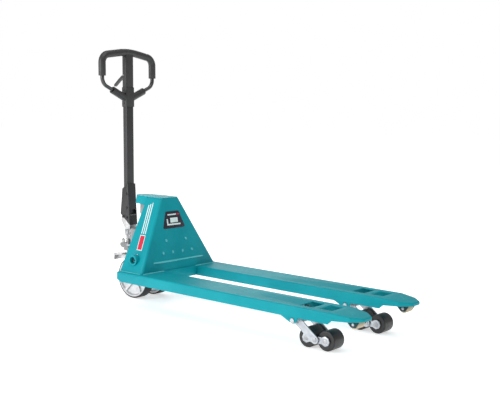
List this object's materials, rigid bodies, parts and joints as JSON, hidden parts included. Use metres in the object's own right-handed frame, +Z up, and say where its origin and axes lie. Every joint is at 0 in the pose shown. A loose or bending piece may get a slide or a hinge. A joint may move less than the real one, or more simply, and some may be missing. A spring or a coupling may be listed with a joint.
{
  "type": "pallet truck",
  "caption": "Hand-pumped pallet truck: two forks on a welded A-frame, hydraulic lift, steering handle with loop grip, load rollers.",
  "frame": {"origin": "on the floor under the centre of the truck's box: on the centre line, midway between the control lever's rear tip and the fork tips", "axes": "+X from the steering wheels towards the fork tips, +Y to the truck's left, +Z up"},
  "size_m": [1.612, 0.54, 1.2022],
  "materials": {
    "teal_paint": "gloss paint over pressed steel",
    "dark_paint": "paint",
    "zinc": "bright zinc plate",
    "steel": "turned steel",
    "black_paint": "satin black paint",
    "grey_paint": "grey paint",
    "cast_alloy": "die cast",
    "black_plastic": "moulded",
    "black_nylon": "turned nylon",
    "pale_nylon": "turned nylon",
    "tyre_rubber": "moulded rubber",
    "label_film": "printed film"
  },
  "bodies": {
    "frame": {"left_fork": "teal_paint", "right_fork": "teal_paint", "a_frame": "teal_paint", "hood": "teal_paint", "heel_beam": "teal_paint", "shaft_collars": "teal_paint", "arm_lugs": "teal_paint", "fork_axles": "steel", "entry_brackets": "dark_paint", "lift_ram": "steel", "ram_sleeve": "grey_paint", "label_plate": "label_film"},
    "lift_carriage": {"thrust_collar": "zinc", "collar_pins": "steel", "thrust_bearing": "steel"},
    "steer_unit": {"king_post": "grey_paint", "steering_axle": "steel", "pump_body": "grey_paint", "ram_cylinder": "grey_paint", "pump_plugs": "steel", "unit_pins": "steel"},
    "plunger": {"pump_plunger": "steel", "plunger_spring": "steel"},
    "pedal": {"release_pedal": "cast_alloy"},
    "handle": {"handle_casting": "cast_alloy", "handle_bracket": "black_paint", "handle_bolts": "black_paint", "handle_tube": "black_paint", "handle_pins": "steel", "loop_socket": "black_plastic", "loop_tubes": "black_paint", "loop_grip": "black_plastic", "control_column": "black_plastic"},
    "cam": {"cam_roller": "cast_alloy"},
    "lever": {"control_lever": "black_plastic"},
    "rod": {"pull_rod": "steel"},
    "rocker": {"rocker_shafts": "steel", "rocker_arms": "zinc"},
    "left_steer_wheel": {"left_steer_tyre": "tyre_rubber", "left_steer_rim": "cast_alloy", "left_wheel_bearings": "steel"},
    "left_push_rod": {"left_push_rod": "steel"},
    "left_arm": {"left_roller_arm": "zinc"},
    "left_stubs": {"left_bogie_pins": "steel"},
    "left_bogie": {"left_bogie_links": "zinc", "left_bogie_axles": "steel"},
    "left_front_wheel": {"left_front_roller": "black_nylon"},
    "left_rear_wheel": {"left_rear_roller": "black_nylon"},
    "left_entry_wheel": {"left_entry_roller": "pale_nylon"},
    "right_steer_wheel": {"right_steer_tyre": "tyre_rubber", "right_steer_rim": "cast_alloy", "right_wheel_bearings": "steel"},
    "right_push_rod": {"right_push_rod": "steel"},
    "right_arm": {"right_roller_arm": "zinc"},
    "right_stubs": {"right_bogie_pins": "steel"},
    "right_bogie": {"right_bogie_links": "zinc", "right_bogie_axles": "steel"},
    "right_front_wheel": {"right_front_roller": "black_nylon"},
    "right_rear_wheel": {"right_rear_roller": "black_nylon"},
    "right_entry_wheel": {"right_entry_roller": "pale_nylon"}
  },
  "joints": [
    {"name": "lift", "type": "slide", "parent": "frame", "child": "lift_carriage", "axis": [0, 0, -1], "range_m": [-0.075, 0.035]},
    {"name": "steering", "type": "hinge", "parent": "lift_carriage", "child": "steer_unit", "pos_m": [-0.576, 0, 0.24], "axis": [0, 0, 1], "range_deg": [-90, 90]},
    {"name": "handle_tilt", "type": "hinge", "parent": "steer_unit", "child": "handle", "pos_m": [-0.68, 0, 0.3046], "axis": [0, -1, 0], "range_deg": [0, 75], "stiffness_Nm_per_rad": 28, "springref_deg": -17.19},
    {"name": "cam_spin", "type": "hinge", "parent": "handle", "child": "cam", "pos_m": [-0.69673, 0, 0.31555], "axis": [0, -1, 0], "continuous": true},
    {"name": "lever_tilt", "type": "hinge", "parent": "handle", "child": "lever", "pos_m": [-0.72621, 0, 1.07453], "axis": [0, -1, 0], "range_deg": [-12, 12], "stiffness_Nm_per_rad": 4},
    {"name": "rod_slide", "type": "slide", "parent": "handle", "child": "rod", "axis": [-0.0314, 0, 0.9995], "range_m": [-0.002, 0.002]},
    {"name": "plunger_slide", "type": "slide", "parent": "steer_unit", "child": "plunger", "axis": [0, 0, -1], "range_m": [0, 0.0251], "deforming": ["plunger_spring"]},
    {"name": "pedal_tilt", "type": "hinge", "parent": "steer_unit", "child": "pedal", "pos_m": [-0.638, 0, 0.176], "axis": [0, -1, 0], "range_deg": [0, 8], "stiffness_Nm_per_rad": 20, "springref_deg": -5.73},
    {"name": "rocker_turn", "type": "hinge", "parent": "frame", "child": "rocker", "pos_m": [-0.424, 0, 0.22], "axis": [0, -1, 0], "range_deg": [-26, 12.2]},
    {"name": "left_steer_spin", "type": "hinge", "parent": "steer_unit", "child": "left_steer_wheel", "pos_m": [-0.576, 0.063, 0.1], "axis": [0, 1, 0], "continuous": true},
    {"name": "left_rod_turn", "type": "hinge", "parent": "rocker", "child": "left_push_rod", "pos_m": [-0.41678, 0.18, 0.15943], "axis": [0, -1, 0], "range_deg": [-12.2, 26]},
    {"name": "left_arm_turn", "type": "hinge", "parent": "frame", "child": "left_arm", "pos_m": [0.511, 0.19, 0.106], "axis": [0, 1, 0], "range_deg": [-41, 19.2]},
    {"name": "left_level_turn", "type": "hinge", "parent": "left_arm", "child": "left_stubs", "pos_m": [0.6, 0.19, 0.04], "axis": [0, 1, 0], "range_deg": [-19.2, 41]},
    {"name": "left_bogie_rock", "type": "hinge", "parent": "left_stubs", "child": "left_bogie", "pos_m": [0.6, 0.19, 0.04], "axis": [0, 1, 0], "range_deg": [-6, 6]},
    {"name": "left_front_spin", "type": "hinge", "parent": "left_bogie", "child": "left_front_wheel", "pos_m": [0.644, 0.19, 0.04], "axis": [0, 1, 0], "continuous": true},
    {"name": "left_rear_spin", "type": "hinge", "parent": "left_bogie", "child": "left_rear_wheel", "pos_m": [0.556, 0.19, 0.04], "axis": [0, 1, 0], "continuous": true},
    {"name": "left_entry_spin", "type": "hinge", "parent": "frame", "child": "left_entry_wheel", "pos_m": [0.76, 0.19, 0.125], "axis": [0, 1, 0], "continuous": true},
    {"name": "right_steer_spin", "type": "hinge", "parent": "steer_unit", "child": "right_steer_wheel", "pos_m": [-0.576, -0.063, 0.1], "axis": [0, 1, 0], "continuous": true},
    {"name": "right_rod_turn", "type": "hinge", "parent": "rocker", "child": "right_push_rod", "pos_m": [-0.41678, -0.18, 0.15943], "axis": [0, -1, 0], "range_deg": [-12.2, 26]},
    {"name": "right_arm_turn", "type": "hinge", "parent": "frame", "child": "right_arm", "pos_m": [0.511, -0.19, 0.106], "axis": [0, 1, 0], "range_deg": [-41, 19.2]},
    {"name": "right_level_turn", "type": "hinge", "parent": "right_arm", "child": "right_stubs", "pos_m": [0.6, -0.19, 0.04], "axis": [0, 1, 0], "range_deg": [-19.2, 41]},
    {"name": "right_bogie_rock", "type": "hinge", "parent": "right_stubs", "child": "right_bogie", "pos_m": [0.6, -0.19, 0.04], "axis": [0, 1, 0], "range_deg": [-6, 6]},
    {"name": "right_front_spin", "type": "hinge", "parent": "right_bogie", "child": "right_front_wheel", "pos_m": [0.644, -0.19, 0.04], "axis": [0, 1, 0], "continuous": true},
    {"name": "right_rear_spin", "type": "hinge", "parent": "right_bogie", "child": "right_rear_wheel", "pos_m": [0.556, -0.19, 0.04], "axis": [0, 1, 0], "continuous": true},
    {"name": "right_entry_spin", "type": "hinge", "parent": "frame", "child": "right_entry_wheel", "pos_m": [0.76, -0.19, 0.125], "axis": [0, 1, 0], "continuous": true}
  ],
  "couplings": [
    {"joint": "plunger_slide", "follows": "handle_tilt", "m_per_rad": 0.0191},
    {"joint": "rod_slide", "follows": "lever_tilt", "m_per_rad": 0.009},
    {"joint": "rocker_turn", "follows": "lift", "rad_per_m": 5.969},
    {"joint": "left_rod_turn", "follows": "lift", "rad_per_m": -5.969},
    {"joint": "left_arm_turn", "follows": "lift", "rad_per_m": 9.42},
    {"joint": "left_level_turn", "follows": "lift", "rad_per_m": -9.42},
    {"joint": "right_rod_turn", "follows": "lift", "rad_per_m": -5.969},
    {"joint": "right_arm_turn", "follows": "lift", "rad_per_m": 9.42},
    {"joint": "right_level_turn", "follows": "lift", "rad_per_m": -9.42}
  ]
}
